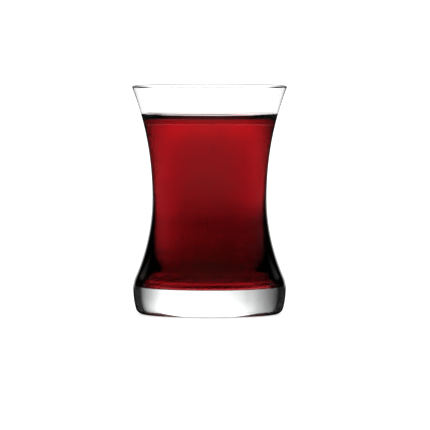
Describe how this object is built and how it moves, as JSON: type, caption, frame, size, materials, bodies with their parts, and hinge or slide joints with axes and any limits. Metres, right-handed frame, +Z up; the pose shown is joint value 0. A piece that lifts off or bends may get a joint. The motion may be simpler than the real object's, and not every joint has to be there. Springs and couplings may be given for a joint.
{
  "type": "waisted tea glass filled with tea",
  "caption": "Clear waisted tea glass with a flared rim and a heavy foot, filled with dark red tea to below the rim.",
  "frame": {"origin": "middle of the foot's flat underside, on the surface that the glass stands on", "axes": "+Z up along the axis of the glass; X and Y are level and alike, because the glass is round"},
  "size_m": [0.058, 0.058, 0.0855],
  "materials": {
    "clear_glass": "smooth, polished, colourless",
    "tea": "clear dark red liquid"
  },
  "bodies": {
    "root": {"glass": "clear_glass", "tea": "tea"}
  },
  "joints": []
}
